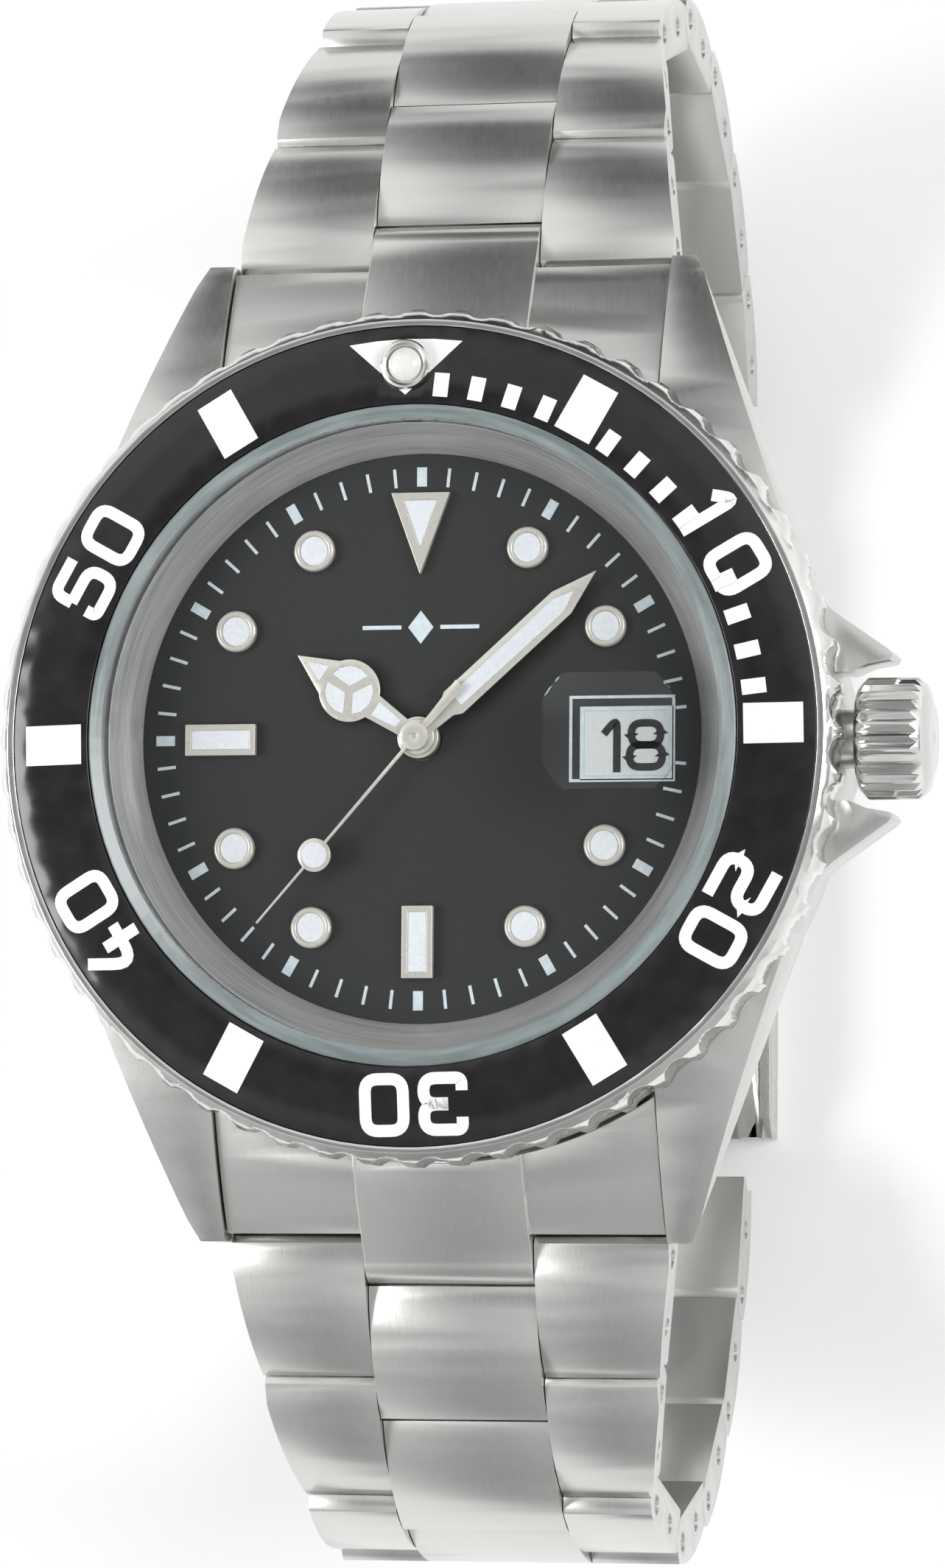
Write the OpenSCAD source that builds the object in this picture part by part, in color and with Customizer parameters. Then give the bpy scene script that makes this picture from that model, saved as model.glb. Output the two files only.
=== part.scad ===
// Diver-style automatic wristwatch on a closed three-link steel bracelet.
// Millimetres. The dial faces +Z, 3 o'clock is +X and 12 o'clock is +Y. The origin is the
// centre of the case back's outer face, and the watch stands on its clasp.

/* [Head] */
// Diameter of the mid-case under the bezel
case_d = 39.8; // [39.4:0.1:40.2]
// Height of the mid-case's top face above the case back's outer face
case_top_z = 7.0; // [6.8:0.1:7.1]
// Distance from the centre to the lug tips
lug_reach = 23.8; // [23.4:0.1:24.2]
// Height of the lug tips' upper edge
lug_tip_z = 2.5; // [2.3:0.1:2.8]
// Width between the lugs
lug_gap = 21.8; // [21.7:0.1:22]
// Width across the outer corners of a pair of lug tips
lug_span = 24.5; // [24.4:0.1:25]
// Diameter of the case back
back_d = 32.6; // [32:0.1:33]
// Height of the dial's face
dial_z = 8.6; // [8.6:0.1:8.7]
// Diameter of the visible dial
dial_view_d = 27.2; // [27:0.1:27.4]
// Diameter of the crystal
crystal_d = 29.9; // [29.8:0.1:30]
// Width and length of the date magnifier
magnifier = [6.4, 7.0]; // [5:0.1:8]

/* [Bezel] */
// Outer diameter of the turning bezel
bezel_d = 40.8; // [40.6:0.1:40.9]
// Number of finger scallops round the bezel
bezel_grips = 60; // [40:4:72]
// Depth of a finger scallop
grip_depth = 0.38; // [0.2:0.02:0.4]
// Outer diameter of the black insert
insert_d = 39.0; // [38.8:0.1:39.1]

/* [Hands and markers] */
// Radius at which the round hour markers sit
marker_r = 10.4; // [10.2:0.1:10.6]
// Diameter of the round hour markers
marker_d = 1.94; // [1.8:0.02:2.1]
// Length of the hour hand
hour_len = 7.15; // [7:0.05:7.4]
// Length of the minute hand
minute_len = 11.65; // [11.4:0.05:11.9]
// Length of the second hand
second_len = 11.7; // [11.4:0.05:12]
// Length of the second hand's tail
tail_len = 3.3; // [3:0.1:3.6]
// Clockwise angles from 12 o'clock of the hour, minute and second hands
hand_angles = [304, 48, 221]; // [0:1:359]

/* [Crown] */
// Diameter of the crown
crown_d = 5.8; // [5.6:0.05:5.9]
// Distance from the centre to the crown's outer end
crown_reach = 24.2; // [24.1:0.1:24.5]
// Height of the crown's axis
crown_z = 5.3; // [5.3:0.05:5.35]
// Number of flutes round the crown
crown_flutes = 30; // [24:2:36]

/* [Bracelet] */
// Distance between the hinge pins of neighbouring rows
pitch = 7.1; // [7.1:0.05:7.15]
// Downward slope of each row from the 12 o'clock lugs to the clasp, in degrees
slopes_12 = [24, 40, 74, 104, 128, 145, 160, 172];
// Downward slope of each row from the 6 o'clock lugs to the clasp, in degrees
slopes_6 = [24, 40, 74, 106, 130, 148, 163];
// Width of the first rows at their upper ends; all later rows have the last width
widths = [21.6, 19.5, 17.2];
// Width of the centre links
centre_w = 8.3; // [8:0.1:8.6]
// Radius of a link's rounded nose
nose_r = 1.35; // [1.3:0.01:1.38]
// Diameter of the bracelet pins
pin_d = 1.0; // [0.9:0.05:1.1]

/* [Clasp] */
// Outer width of the clasp cover
clasp_w = 17.2; // [17:0.1:17.2]
// Thickness of the clasp's blades
blade_t = 0.8; // [0.7:0.05:0.8]
// Thickness of the safety latch
latch_t = 0.7; // [0.6:0.05:0.7]

/* [Movement] */
// Diameter of the main plate
plate_d = 26.0; // [25.8:0.1:26]
// Diameter of the winding rotor
rotor_d = 25.2; // [24.8:0.1:25.4]

/* [Hidden] */
$fn = 96;

tiny = 0.01;
fit = 0.04;
press_gap = 0.012;
steel = [0.78, 0.78, 0.79];
dark_steel = [0.55, 0.55, 0.57];
brass = [0.80, 0.66, 0.36];
nickel = [0.80, 0.78, 0.73];
black = [0.05, 0.05, 0.06];
pale = [0.88, 0.93, 0.95];

// Case levels and radii
back_t = 0.9;
boss_top_z = 2.0;
cavity_r = 14.75;
dial_seat_z = 8.2;
dial_seat_r = 15.35;
neck_r = 16.1;
neck_z = 10.2;
lip_r = 15.65;
lip_z = 10.85;
shoulder_y = 8.0;
lug_drop = case_top_z - lug_tip_z;
lug_arc_r = (pow(lug_reach - shoulder_y, 2) + pow(lug_drop, 2)) / (2 * lug_drop);
lug_low_z = -0.3;
spring_bar_at = [21.3, 1.5];
spring_bar_r = 0.75;
spring_tip_r = 0.45;
guard_root = 3.05;
guard_z = [4.2, 7.0];
flank = [19.1, 5.2];
flank_bevel_z = 3.2;
crown_start = 20.7;

// Crystal and bezel levels
crystal_z = 10.1;
crystal_top_z = 11.35;
bezel_low_z = 7.2;
bezel_lip_z = 10.65;
insert_low_z = 10.3;
insert_in_r = 15.75;
insert_in_z = 11.0;
insert_out_z = 10.6;
insert_rest_angle = 1.1;
pip_at = 17.6;
pip_r = 1.18;

// Bracelet
pin_r = pin_d / 2;
link_half = nose_r;
link_crown = 1.45;
link_crown_r = 10;
link_back_off = 1.1;
link_gap = 0.08;
side_gap = 0.05;
first_pin = [24.5, 0.4];
last_row_w = 14.8;

// Clasp levels and places
end_12 = pin_at(slopes_12, len(slopes_12));
end_6 = [-pin_at(slopes_6, len(slopes_6))[0], pin_at(slopes_6, len(slopes_6))[1]];
clasp_z = end_12[1] - 2.95;
cover_t = 1.0;
cover_wall = 1.0;
cover_start = end_6[0] + 1.5;
floor_end = end_12[0] - 3.8;
fork_end = end_12[0] + 1.3;
latch_pivot = [cover_start + 12, clasp_z + 1.8];
hinge_outer = [end_6[0] + 3.7, clasp_z + cover_t + 0.95];
hinge_inner = [end_12[0] - 4.8, clasp_z + cover_t + 1.75];
blade_w = 6.4;
ear_in = centre_w / 2 + 0.25;
knuckle_r = 0.85;
hinge_pin_r = 0.4;

// Movement levels and places
second_r = 0.2;
minute_tube_r = 0.55;
hour_tube_r = 0.95;
bridge_z = [2.5, 3.1];
plate_z = [6.3, 7.45];
third_dist = 5.4;
third_angle = -15;
barrel_module = 0.145;
barrel_teeth = 72;
centre_pinion_teeth = 12;
barrel_dist = barrel_module * (barrel_teeth + centre_pinion_teeth) / 2;
barrel_angle = 140;
centre_teeth = 80;
third_pinion_teeth = 10;
centre_module = 2 * third_dist / (centre_teeth + third_pinion_teeth);
third_teeth = 75;
fourth_pinion_teeth = 10;
third_module = 2 * third_dist / (third_teeth + fourth_pinion_teeth);
fourth_teeth = 80;
escape_pinion_teeth = 8;
escape_module = 0.125;
escape_dist = escape_module * (fourth_teeth + escape_pinion_teeth) / 2;
escape_angle = -100;
motion_module = 0.15;
cannon_teeth = 10;
minute_wheel_teeth = 30;
minute_pinion_teeth = 8;
hour_wheel_teeth = 32;
motion_dist = motion_module * (cannon_teeth + minute_wheel_teeth) / 2;
motion_angle = 30;
balance_at = polar(8.9, -148);
balance_r = 2.7;
escape_at = polar(escape_dist, escape_angle);
fork_heading = atan2(balance_at[1] - escape_at[1], balance_at[0] - escape_at[0]);
fork_at = escape_at + polar(3.4, fork_heading);
pillars = [for (a = [60, -50, 190]) polar(11.5, a)];

function polar(r, a) = [r * cos(a), r * sin(a)];
function half_width(k) = widths[min(k, len(widths) - 1)] / 2;
function pin_at(slopes, k) = k == 0 ? first_pin
    : pin_at(slopes, k - 1) + pitch * [cos(slopes[k - 1]), -sin(slopes[k - 1])];
// Phase of a gear that meshes with a gear of phase a, across the direction theta
function mesh_phase(theta, a, teeth_a, teeth_b) =
    theta + 180 - (a - theta) * teeth_a / teeth_b + 180 / teeth_b;

// ---- Shared shapes ----

module disc(r, z0, z1) {
    translate([0, 0, z0]) cylinder(r = r, h = z1 - z0);
}

module ring(r_in, r_out, z0, z1) {
    difference() {
        disc(r_out, z0, z1);
        disc(r_in, z0 - 1, z1 + 1);
    }
}

// A rod or hole along X at a given [y, z]
module rod_x(r, at, x0, x1) {
    translate([x0, at[0], at[1]]) rotate([0, 90, 0]) cylinder(r = r, h = x1 - x0);
}

// Extrudes an outline drawn in [y, z] along X, evenly about x = 0
module across(w) {
    rotate([90, 0, 90]) translate([0, 0, -w / 2]) linear_extrude(w) children();
}

// A flat prism from x0 to x1 of an outline drawn in [y, z]
module slab_x(x0, x1) {
    translate([(x0 + x1) / 2, 0, 0]) across(x1 - x0) children();
}

module both_sides() {
    children();
    mirror([1, 0, 0]) children();
}

module gear(teeth, m, z0, z1, phase) {
    tooth = [[-0.27, -1], [-0.11, 0.75], [0.11, 0.75], [0.27, -1]];
    translate([0, 0, z0]) linear_extrude(z1 - z0) polygon([for (i = [0 : teeth - 1])
        for (s = tooth) polar(m * (teeth / 2 + s[1]), phase + (i + s[0]) * 360 / teeth)]);
}

// An arbor between the bridge and the main plate, with a thin pivot at each end
module arbor(r) {
    disc(r, bridge_z[1] + 0.05, plate_z[0] - 0.05);
    disc(0.12, bridge_z[1] - 0.3, plate_z[0] + 0.3);
}

module at(p) {
    translate([p[0], p[1], 0]) children();
}

// ---- Case ----

// Side view of the lugs in [y, z] on the +Y side, lowered by drop
module lug_side(drop = 0, reach = lug_reach) {
    intersection() {
        union() {
            translate([shoulder_y, case_top_z - lug_arc_r]) circle(lug_arc_r - drop, $fn = 240);
            translate([-1, -1]) square([shoulder_y + 1, case_top_z + 1 - drop]);
        }
        polygon([[-1, back_t], [14, back_t], [20.5, lug_low_z], [reach, lug_low_z],
            [reach, case_top_z], [-1, case_top_z]]);
    }
}

module case_outline() {
    tip = [lug_span / 2, lug_reach];
    difference() {
        polygon([for (s = [[1, 1], [1, -1], [-1, -1], [-1, 1]], p = s[0] * s[1] > 0 ? [tip, flank]
            : [flank, tip]) [s[0] * p[0], s[1] * p[1]]]);
        for (s = [-1, 1]) translate([-lug_gap / 2, s * 21.2 - 5]) square([lug_gap, 10]);
    }
}

// Wedge that undercuts the flank from beyond a lug tip to the middle of the case
module flank_bevel() {
    run = flank - [lug_span / 2, lug_reach];
    translate([lug_span / 2, lug_reach, 0]) rotate(atan2(run[1], run[0])) rotate([90, 0, 90])
        translate([0, 0, -2]) linear_extrude(norm(run) + 8)
            polygon([[0.02, flank_bevel_z], [2, flank_bevel_z], [2, -2], [-1.1, -2]]);
}

module crown_guard() {
    guard = [[17, 9.4], [18.3, 7.7], [18.65, 7.1], [19.0, 6.5], [19.6, 5.95], [22.2, 4.12],
        [22.45, 3.85], [22.3, 3.6], [21.2, 3.4], [20.4, guard_root], [17, guard_root]];
    translate([0, 0, guard_z[0]]) linear_extrude(guard_z[1] - guard_z[0]) polygon(guard);
}

module case_body() color(steel) difference() {
    union() {
        intersection() {
            translate([0, 0, lug_low_z]) linear_extrude(case_top_z - lug_low_z) case_outline();
            across(2 * lug_span) union() {
                lug_side();
                mirror([1, 0]) lug_side();
            }
        }
        disc(case_d / 2, back_t, case_top_z);
        disc(neck_r, case_top_z - tiny, neck_z);
        disc(lip_r, neck_z - tiny, lip_z);
        crown_guard();
        mirror([0, 1, 0]) crown_guard();
    }
    disc(cavity_r, -1, dial_seat_z);
    disc(dial_seat_r, dial_seat_z - tiny, lip_z + 1);
    disc(back_d / 2 + 0.1, -1, back_t);
    disc(15.5, back_t - tiny, back_t + 0.6);
    translate([20.3, -guard_root, crown_z - 3.1]) cube([4, 2 * guard_root, 6.2]);
    rod_x(1.4, [0, crown_z], 13, 21);
    for (y = [-spring_bar_at[0], spring_bar_at[0]])
        rod_x(spring_tip_r + fit, [y, spring_bar_at[1]], -12.2, 12.2);
    for (a = [0, 1], b = [0, 1]) mirror([a, 0, 0]) mirror([0, b, 0]) flank_bevel();
}

module case_back() color(steel) difference() {
    union() {
        disc(back_d / 2, 0, back_t);
        disc(cavity_r - 0.05, back_t - tiny, boss_top_z);
    }
    disc(13.4, back_t, boss_top_z + 1);
    for (a = [0 : 60 : 300]) rotate(a) translate([13.6, -1, -1]) cube([4, 2, 1.5]);
}

module case_back_gasket() color(black) ring(cavity_r, 15.45, back_t, back_t + 0.55);

module crystal() color([0.85, 0.93, 0.95, 0.4]) disc(crystal_d / 2, crystal_z, crystal_top_z);

module crystal_gasket() color(pale) ring(crystal_d / 2, dial_seat_r, crystal_z, crystal_top_z - 0.6);

module date_magnifier() color([0.85, 0.93, 0.95, 0.5]) intersection() {
    translate([9.75, 0, crystal_top_z]) intersection() {
        cylinder(r = magnifier[1] / 2, h = 0.85);
        translate([-magnifier[0] / 2, -2.75, 0]) cube([magnifier[0], 5.5, 1]);
    }
    translate([9.75, 0, crystal_top_z + 0.85 - 12]) sphere(r = 12, $fn = 180);
}

module rehaut_ring() color(steel) rotate_extrude()
    polygon([[dial_view_d / 2, dial_z], [dial_seat_r - 0.05, dial_z],
        [dial_seat_r - 0.05, crystal_z], [dial_view_d / 2 + 1.3, crystal_z]]);

// ---- Bezel ----

module bezel_ring() color(steel) intersection() {
    rotate_extrude() polygon([[neck_r + 0.1, bezel_low_z], [bezel_d / 2 - 0.5, bezel_low_z],
        [bezel_d / 2, bezel_low_z + 0.6], [bezel_d / 2, bezel_lip_z - 1.0],
        [bezel_d / 2 - 0.25, bezel_lip_z - 0.3], [bezel_d / 2 - 0.6, bezel_lip_z],
        [insert_d / 2, bezel_lip_z], [insert_d / 2, insert_low_z - 0.3],
        [neck_r + 0.1, insert_low_z - 0.3]]);
    translate([0, 0, bezel_low_z - 1]) linear_extrude(6) difference() {
        circle(bezel_d / 2 + 1);
        for (i = [0 : bezel_grips - 1]) rotate((i + 0.5) * 360 / bezel_grips)
            translate([bezel_d / 2 + 1.15 - grip_depth, 0]) circle(1.15, $fn = 40);
    }
}

module bezel_insert() color(black) difference() {
    rotate_extrude() polygon([[insert_in_r, insert_low_z], [neck_r + 0.1, insert_low_z],
        [neck_r + 0.1, insert_low_z - 0.3], [insert_d / 2 - 0.02, insert_low_z - 0.3],
        [insert_d / 2 - 0.02, insert_out_z], [insert_in_r, insert_in_z]]);
    rotate(90 + insert_rest_angle) translate([pip_at, 0, 0]) disc(pip_r, 0, 20);
}

// Luminous pearl in a steel cup, set into the insert at its zero mark
module bezel_pip() color(pale) rotate(90 + insert_rest_angle) translate([pip_at, 0, 0]) {
    disc(pip_r, insert_low_z - 0.3, insert_in_z + 0.1);
    disc(pip_r - 0.3, insert_in_z, insert_in_z + 0.3);
}

module bezel_click_spring() color(dark_steel) union() {
    ring(neck_r + 0.3, neck_r + 1.6, case_top_z, case_top_z + 0.12);
    for (a = [30, 150, 270]) rotate(a) translate([neck_r + 1.4, -1.5, case_top_z])
        cube([1.0, 3, 0.15]);
}

// ---- Dial and hands ----

module dial() color(black) difference() {
    disc(14.7, dial_seat_z, dial_z);
    disc(hour_tube_r + 0.15, 0, dial_z + 1);
    translate([8.35, -1.15, 0]) cube([2.8, 2.3, dial_z + 1]);
}

module hour_markers() color(nickel) union() {
    marker_t = 0.3;
    for (h = [1, 2, 4, 5, 7, 8, 10, 11]) at(polar(marker_r, 90 - 30 * h))
        disc(marker_d / 2, dial_z, dial_z + marker_t);
    translate([0, 0, dial_z]) linear_extrude(marker_t) {
        polygon([[-1.4, 11.7], [1.4, 11.7], [0, 7.84]]);
        translate([-0.75, -11.45]) square([1.5, 3.45]);
        translate([-11.45, -0.75]) square([3.45, 1.5]);
    }
}

// Plate of a hand: its outline points at +Y, turned clockwise by a
module hand_plate(a, z, t) {
    translate([0, 0, z]) rotate(-a) linear_extrude(t) children();
}

// Outline of the hour hand: a stem, a round window with three spokes, and a tip
module hour_outline() {
    window_at = 4.06;
    circle(1.0);
    polygon([[-0.35, 0], [0.35, 0], [0.62, 2.7], [-0.62, 2.7]]);
    translate([0, window_at]) difference() {
        circle(1.5);
        for (a = [30, 150, 270]) polygon([polar(0.3, a), polar(1.15, a - 46),
            polar(1.2, a - 22), polar(1.2, a + 22), polar(1.15, a + 46)]);
    }
    polygon([[-0.95, 5.2], [0.95, 5.2], [0, hour_len]]);
}

module hour_hand() color(nickel) difference() {
    union() {
        hand_plate(hand_angles[0], dial_z + 0.35, 0.15) hour_outline();
        disc(hour_tube_r, plate_z[1] + 0.4, dial_z + 0.45);
        gear(hour_wheel_teeth, motion_module, plate_z[1] + 0.4, plate_z[1] + 0.55,
            mesh_phase(motion_angle + 180, 0, minute_pinion_teeth, hour_wheel_teeth));
    }
    disc(minute_tube_r + 0.06, 0, dial_z + 1);
}

module minute_hand() color(nickel) difference() {
    union() {
        hand_plate(hand_angles[1], dial_z + 0.68, 0.13) {
            circle(0.85);
            polygon([[-0.3, 0], [0.3, 0], [0.45, 2.0], [0.7, 2.4], [0.7, 9.4],
                [0, minute_len], [-0.7, 9.4], [-0.7, 2.4], [-0.45, 2.0]]);
        }
        disc(minute_tube_r, 4.3, dial_z + 0.75);
        gear(cannon_teeth, motion_module, plate_z[1] + 0.08, plate_z[1] + 0.3, 0);
        gear(centre_pinion_teeth, barrel_module, 5.75, 6.2, 0);
        gear(centre_teeth, centre_module, 4.35, 4.55, 0);
    }
    disc(second_r + 0.06, 0, dial_z + 1);
}

module second_hand() color(nickel) {
    hand_plate(hand_angles[2], dial_z + 0.95, 0.12) {
        polygon([[-0.09, 0], [0.09, 0], [0.05, second_len], [-0.05, second_len]]);
        translate([0, 7.43]) circle(0.8);
        polygon([[-0.12, 0], [0.12, 0], [0.275, -tail_len], [-0.275, -tail_len]]);
    }
    difference() {
        disc(0.67, dial_z + 0.85, dial_z + 1.3);
        disc(0.15, dial_z + 1.2, dial_z + 2);
    }
    disc(second_r, bridge_z[1] + 0.05, dial_z + 0.9);
    disc(0.12, bridge_z[1] - 0.3, bridge_z[1] + 0.1);
    gear(fourth_teeth, escape_module, 3.35, 3.55, 0);
    gear(fourth_pinion_teeth, third_module, 3.55 - tiny, 4.15, 0);
}

module date_wheel() color(pale) {
    ring(8.1, 11.9, plate_z[1] + 0.3, plate_z[1] + 0.55);
    translate([0, 0, plate_z[1] + 0.3]) for (i = [0 : 30]) rotate(i * 360 / 31)
        translate([8.1 - 0.45, -0.2, 0]) cube([0.6, 0.4, 0.25]);
}

// ---- Movement ----

module movement_holder() color([0.85, 0.85, 0.82]) difference() {
    ring(plate_d / 2 + 0.02, cavity_r - 0.05, bridge_z[0], dial_seat_z - 0.05);
    rod_x(1.6, [0, crown_z], 12, 16);
}

module main_plate() color(brass) difference() {
    union() {
        disc(plate_d / 2, plate_z[0], plate_z[1]);
        for (p = pillars) at(p) disc(1.0, bridge_z[1], plate_z[0] + tiny);
    }
    disc(minute_tube_r + 0.06, 0, 9);
    at(polar(third_dist, third_angle)) disc(0.16, 5, plate_z[0] + 0.4);
    at(escape_at) disc(0.16, 5, plate_z[0] + 0.4);
    at(balance_at) disc(0.16, 5, plate_z[0] + 0.4);
    at(fork_at) disc(0.16, 5, plate_z[0] + 0.4);
    at(polar(barrel_dist, barrel_angle)) disc(0.45, 5, plate_z[0] + 0.5);
    at(polar(motion_dist, motion_angle)) disc(0.2, plate_z[1] - 0.5, 9);
    translate([10.2, -1.8, 3]) cube([2.6, 3.6, plate_z[0] + 0.7 - 3]);
    for (p = pillars) at(p) disc(0.3, 3, 5);
}

module train_bridge() color(nickel) difference() {
    union() {
        disc(plate_d / 2 - 0.2, bridge_z[0], bridge_z[1]);
        disc(1.3, 1.15, bridge_z[0] + tiny);
    }
    disc(0.17, bridge_z[1] - 0.4, 4);
    at(polar(third_dist, third_angle)) disc(0.16, bridge_z[1] - 0.4, 4);
    at(escape_at) disc(0.16, bridge_z[1] - 0.4, 4);
    at(fork_at) disc(0.16, bridge_z[1] - 0.4, 4);
    at(polar(barrel_dist, barrel_angle)) disc(0.45, bridge_z[0] - 1, 4);
    at(balance_at) disc(4.1, 0, 4);
    rotate(-148) translate([8.9, -1.7, 0]) cube([6, 3.4, 4]);
    for (p = pillars) at(p) {
        disc(0.3, 2, 4);
        disc(0.62, bridge_z[0] - 1, bridge_z[0] + 0.3);
    }
}

module balance_cock() color(nickel) difference() {
    union() {
        at(balance_at) disc(1.4, bridge_z[0], bridge_z[1]);
        rotate(-148) translate([8.9, -1.2, bridge_z[0]]) cube([3.8, 2.4, 0.6]);
        rotate(-148) translate([11.7, -1.2, bridge_z[0] + 0.3]) cube([1, 2.4, plate_z[0] - 2.8]);
    }
    at(balance_at) disc(0.16, bridge_z[1] - 0.4, 4);
}

module bridge_screws() color([0.25, 0.35, 0.75]) for (p = pillars) at(p) difference() {
    union() {
        disc(0.6, bridge_z[0], bridge_z[0] + 0.3);
        disc(0.3, bridge_z[0] + 0.3 - tiny, 4.9);
    }
    translate([-0.08, -1, bridge_z[0] - 0.1]) cube([0.16, 2, 0.25]);
}

module mainspring_barrel() color(brass) at(polar(barrel_dist, barrel_angle)) {
    difference() {
        union() {
            disc(barrel_module * (barrel_teeth / 2 - 1.6), 4.75, 5.85);
            gear(barrel_teeth, barrel_module, 5.8, 6.15,
                mesh_phase(barrel_angle, 0, centre_pinion_teeth, barrel_teeth));
        }
        ring(1.2, 4.6, 4.95, 5.6);
    }
    disc(0.38, bridge_z[0], plate_z[0] + 0.4);
}

module third_wheel() color(brass) at(polar(third_dist, third_angle)) {
    arbor(0.2);
    gear(third_teeth, third_module, 3.85, 4.05,
        mesh_phase(third_angle, 0, fourth_pinion_teeth, third_teeth));
    gear(third_pinion_teeth, centre_module, 4.05 - tiny, 4.7,
        mesh_phase(third_angle, 0, centre_teeth, third_pinion_teeth));
}

module minute_wheel() color(brass) at(polar(motion_dist, motion_angle)) {
    gear(minute_wheel_teeth, motion_module, plate_z[1] + 0.08, plate_z[1] + 0.25,
        mesh_phase(motion_angle, 0, cannon_teeth, minute_wheel_teeth));
    gear(minute_pinion_teeth, motion_module, plate_z[1] + 0.25 - tiny, plate_z[1] + 0.6, 0);
    disc(0.15, plate_z[1] - 0.4, plate_z[1] + 0.1);
}

module escape_wheel() color(brass) at(escape_at) {
    arbor(0.2);
    gear(escape_pinion_teeth, escape_module, 3.25, 3.65,
        mesh_phase(escape_angle, 0, fourth_teeth, escape_pinion_teeth));
    translate([0, 0, 5.0]) linear_extrude(0.2) polygon([for (i = [0 : 14])
        for (s = [[0, 1.75], [16, 1.75], [22, 2.25], [23, 2.25]]) polar(s[1], i * 24 + s[0])]);
}

module pallet_fork() color(steel) at(fork_at) {
    arbor(0.2);
    translate([0, 0, 5.0]) linear_extrude(0.2) rotate(fork_heading) difference() {
        union() {
            translate([-0.3, -0.25]) square([2.9, 0.5]);
            translate([-0.3, -1.75]) square([0.5, 3.5]);
            for (s = [-1, 1]) translate([-1.0, s * 1.6 - 0.15]) square([0.8, 0.3]);
        }
        translate([2.2, -0.1]) square([1, 0.2]);
    }
}

module balance_wheel() color(brass) at(balance_at) {
    ring(balance_r - 0.55, balance_r, 3.5, 3.95);
    translate([-balance_r + 0.3, -0.3, 3.6]) cube([2 * balance_r - 0.6, 0.6, 0.25]);
    disc(0.5, 4.9, 5.3);
    arbor(0.2);
}

// Flat spiral spring: three nested open rings, held by a collet on the balance staff
module hairspring() color([0.3, 0.4, 0.7]) at(balance_at) translate([0, 0, 4.35]) {
    for (k = [0 : 2]) difference() {
        cylinder(r = 1.0 + 0.45 * k, h = 0.15);
        translate([0, 0, -1]) cylinder(r = 0.9 + 0.45 * k, h = 3);
    }
    translate([0.22, -0.06, 0]) cube([1.65, 0.12, 0.15]);
}

module rotor() color(dark_steel) difference() {
    union() {
        intersection() {
            union() {
                disc(rotor_d / 2, 1.1, 1.55);
                ring(rotor_d / 2 - 2.2, rotor_d / 2, 1.1, 2.25);
            }
            translate([-20, -20, 0]) cube([40, 20, 5]);
        }
        disc(2.6, 1.1, 1.6);
    }
    disc(1.36, 0, 3);
    for (a = [-45, -90, -135]) rotate(a) translate([6.5, 0, 0]) cylinder(r = 1.5, h = 5);
}

module winding_pinion() color(steel) translate([10.6, 0, crown_z]) rotate([0, 90, 0])
    difference() {
        gear(16, 0.14, 0, 1.6, 0);
        translate([0, 0, -1]) cylinder(r = 0.5, h = 4);
    }

// ---- Crown ----

module crown() color(steel) translate([0, 0, crown_z]) rotate([0, 90, 0]) difference() {
    intersection() {
        translate([0, 0, crown_start]) linear_extrude(crown_reach - crown_start)
            polygon([for (i = [0 : 2 * crown_flutes - 1])
                polar(crown_d / 2 + 0.03 - (i % 2) * 0.27, (i + 0.5) * 180 / crown_flutes)]);
        rotate_extrude() polygon([[0, crown_start], [crown_d / 2 - 0.4, crown_start],
            [crown_d / 2, crown_start + 0.4], [crown_d / 2, crown_reach - 0.75],
            [crown_d / 2 - 0.35, crown_reach - 0.3], [crown_d / 2 - 1.2, crown_reach - 0.05],
            [0, crown_reach]]);
    }
    translate([0, 0, 20]) cylinder(r = 1.46, h = 2.6);
    translate([0, 0, 20]) cylinder(r = 0.46, h = 3.4);
}

module stem() color(steel) rod_x(0.46, [0, crown_z], 9.8, 23.4);

module crown_tube() color(steel) difference() {
    rod_x(1.4, [0, crown_z], 14.9, 22.2);
    rod_x(0.6, [0, crown_z], 14, 23);
}

// ---- Bracelet ----

// Side view of a link in [along, out]: nose on the first pin, hollow facing end at the next
module link_side() {
    span = pitch - link_back_off;
    difference() {
        intersection() {
            union() {
                circle(nose_r);
                translate([0, -link_half]) square([span, link_half + link_crown]);
            }
            translate([(span - link_back_off) / 2, link_crown - link_crown_r])
                circle(link_crown_r, $fn = 360);
            translate([-2, -link_half]) square([pitch + 2, 3 * link_half]);
        }
        translate([pitch, 0]) circle(nose_r + link_gap);
    }
}

// Plan of one outer link, narrowing towards the clasp
module outer_plan(w0, w1) {
    inner = centre_w / 2 + side_gap;
    polygon([[inner, -2], [w0, -2], [w0, 0], [w1, pitch - link_back_off], [w1, pitch],
        [inner, pitch]]);
}

// One row about its hinge pin: two outer links, a centre link and two pins
module row_links(w0, w1) {
    fixed_at = [pitch / 2, 0];
    both_sides() difference() {
        intersection() {
            slab_x(0, w0 + 1) link_side();
            translate([0, 0, -3]) linear_extrude(6) outer_plan(w0, w1);
        }
        for (p = [[0, 0], fixed_at]) rod_x(pin_r + press_gap, p, 0, w0 + 1);
    }
    difference() {
        across(centre_w) translate([pitch, 0]) mirror([1, 0]) link_side();
        rod_x(pin_r + fit, [pitch, 0], -6, 6);
        rod_x(pin_r + press_gap, fixed_at, -6, 6);
    }
    for (p = [[0, 0], fixed_at]) rod_x(pin_r, p, 0.25 - w1, w1 - 0.25);
}

// Row k of a side, counted from the lugs; the 6 o'clock side is mirrored
module bracelet_row(slopes, k, side) color(steel) {
    p = pin_at(slopes, k - 1);
    last = side > 0 && k == len(slopes);
    w0 = last ? last_row_w / 2 : half_width(k - 1);
    w1 = min(w0, half_width(k) + 0.1);
    mirror([0, side > 0 ? 0 : 1, 0]) translate([0, p[0], p[1]]) rotate([-slopes[k - 1], 0, 0])
        row_links(w0, w1);
}

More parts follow.
